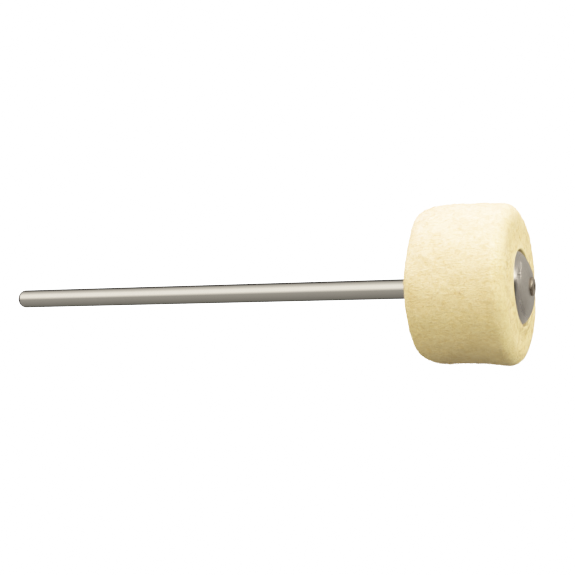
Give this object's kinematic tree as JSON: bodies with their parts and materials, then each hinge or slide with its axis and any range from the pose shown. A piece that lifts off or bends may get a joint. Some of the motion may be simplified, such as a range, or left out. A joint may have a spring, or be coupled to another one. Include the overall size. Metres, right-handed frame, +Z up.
{
  "type": "felt drum pedal beater",
  "caption": "Short cylindrical wool felt head clamped between steel washers on the end of a long plain polished rod with a rounded nose.",
  "frame": {"origin": "on the rod's axis, where the rounded nose of the free end meets the full diameter", "axes": "+X along the rod from the free end towards the felt head; +Z up"},
  "size_m": [0.2373, 0.0624, 0.0624],
  "materials": {
    "polished_rod": "mirror-bright plating, faint lengthwise grinding lines",
    "wool_felt": "dense pressed wool felt, cream, short fuzz",
    "washer_plate": "dull plated steel, fine turned lines",
    "screw_plate": "plated steel, slightly browned"
  },
  "bodies": {
    "root": {"shaft": "polished_rod", "inner_washer": "washer_plate", "felt_head": "wool_felt", "outer_washer": "washer_plate", "clamp_screw": "screw_plate"}
  },
  "joints": []
}
